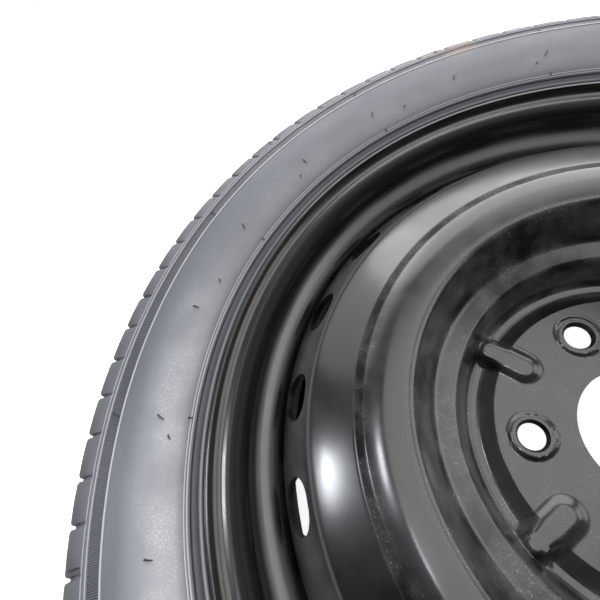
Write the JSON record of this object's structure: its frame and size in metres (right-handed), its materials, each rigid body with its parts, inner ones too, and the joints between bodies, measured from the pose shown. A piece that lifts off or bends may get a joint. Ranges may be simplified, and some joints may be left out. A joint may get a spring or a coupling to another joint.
{
  "type": "space saver spare wheel",
  "caption": "Narrow temporary spare wheel: a low tyre on a pressed steel wheel with a vented, domed disc, a centre bore, stud holes and a snap-in valve.",
  "frame": {"origin": "the wheel's centre: on its axis, in the middle of the tyre's width", "axes": "+Z along the wheel's axis, towards the outboard side that the picture shows; the wheel lies on its inboard sidewall; +X and +Y to the sides, with the vents at multiples of 18 degrees from +X"},
  "size_m": [0.635, 0.635, 0.145],
  "materials": {
    "tyre": "satin moulded rubber",
    "black_paint": "semi-gloss black paint",
    "valve_rubber": "matt",
    "brass": "turned",
    "seal": "matt",
    "spring_steel": "drawn",
    "cap_plastic": "moulded"
  },
  "bodies": {
    "wheel": {"tyre": "tyre", "rim": "black_paint", "disc": "black_paint", "weld_beads": "black_paint", "valve_body": "valve_rubber", "valve_stem": "brass", "core_plug": "brass", "core_barrel": "brass", "core_gasket": "seal", "core_spring": "spring_steel"},
    "valve_pin": {"core_pin": "spring_steel", "core_cup": "brass", "core_seal": "valve_rubber"},
    "cap": {"valve_cap": "cap_plastic", "cap_gasket": "valve_rubber"}
  },
  "joints": [
    {"name": "pin_press", "type": "slide", "parent": "wheel", "child": "valve_pin", "axis": [0.2796, -0.4843, -0.829], "range_m": [0, 0.0015], "stiffness_N_per_m": 500, "springref_m": -0.003, "deforming": ["core_spring"]},
    {"name": "cap_off", "type": "slide", "parent": "wheel", "child": "cap", "axis": [-0.2796, 0.4843, 0.829], "range_m": [0, 0.012]}
  ]
}
